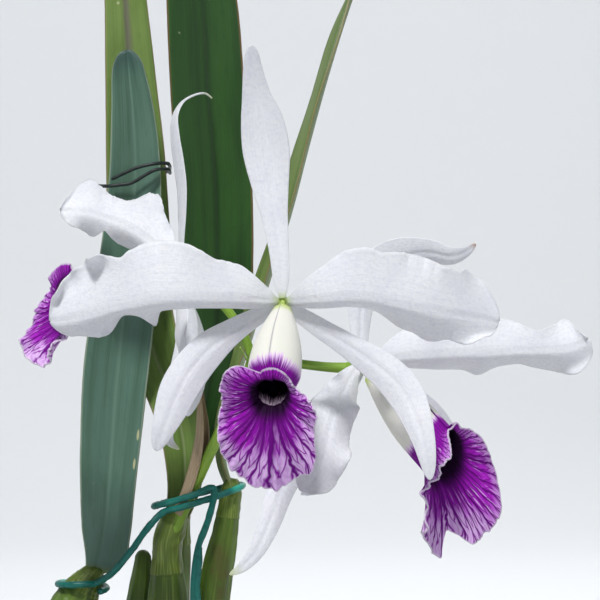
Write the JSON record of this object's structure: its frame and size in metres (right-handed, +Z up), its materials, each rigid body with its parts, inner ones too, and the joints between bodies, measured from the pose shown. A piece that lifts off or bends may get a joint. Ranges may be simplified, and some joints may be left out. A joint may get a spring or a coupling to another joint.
{
  "type": "cattleya orchid in a pot",
  "caption": "Potted cattleya orchid with strap leaves on slim pseudobulbs and white blooms whose frilled purple lips open from rolled tubes, in a plain clay pot.",
  "frame": {"origin": "middle of the pot's foot, on the surface that the pot stands on", "axes": "+Z up; -Y the way that the main bloom faces; +X to that bloom's right as its viewer sees it"},
  "size_m": [0.2436, 0.2012, 0.5362],
  "materials": {
    "terracotta": "matt fired clay",
    "bark": "rough bark",
    "root": "matt, chalky",
    "pseudobulb": "satin, waxy green skin",
    "dry_sheath": "matt, papery",
    "leaf_blue_green": "satin, waxy",
    "leaf_pale": "satin, waxy",
    "leaf_deep_green": "satin, waxy",
    "flower_stem": "satin green",
    "tepal": "soft, crystalline white",
    "lip": "velvety purple with dark veins and a pale edge",
    "column": "waxy cream",
    "teal_tie": "satin soft plastic",
    "black_tie": "coated wire"
  },
  "bodies": {
    "root": {"pot": "terracotta", "bark_medium": "bark", "rhizome_and_roots": "root", "pseudobulb_left": "pseudobulb", "pseudobulb_centre": "pseudobulb", "pseudobulb_right": "pseudobulb", "pseudobulb_rear": "pseudobulb", "pseudobulb_old": "pseudobulb", "dry_sheath_left": "dry_sheath", "dry_sheath_centre": "dry_sheath", "dry_sheath_right": "dry_sheath", "dry_sheath_rear": "dry_sheath", "leaf_left": "leaf_blue_green", "leaf_centre": "leaf_pale", "leaf_rear": "leaf_deep_green", "leaf_right": "leaf_pale", "flower_sheath": "dry_sheath", "flower_stem": "flower_stem", "teal_tie": "teal_tie", "black_tie": "black_tie", "front_bloom_dorsal_sepal": "tepal", "front_bloom_left_lateral_sepal": "tepal", "front_bloom_right_lateral_sepal": "tepal", "front_bloom_left_petal": "tepal", "front_bloom_right_petal": "tepal", "front_bloom_lip": "lip", "front_bloom_column": "column", "right_bloom_dorsal_sepal": "tepal", "right_bloom_near_lateral_sepal": "tepal", "right_bloom_far_lateral_sepal": "tepal", "right_bloom_near_petal": "tepal", "right_bloom_far_petal": "tepal", "right_bloom_lip": "lip", "right_bloom_column": "column", "left_bloom_dorsal_sepal": "tepal", "left_bloom_near_lateral_sepal": "tepal", "left_bloom_far_lateral_sepal": "tepal", "left_bloom_near_petal": "tepal", "left_bloom_far_petal": "tepal", "left_bloom_lip": "lip", "left_bloom_column": "column"}
  },
  "joints": []
}
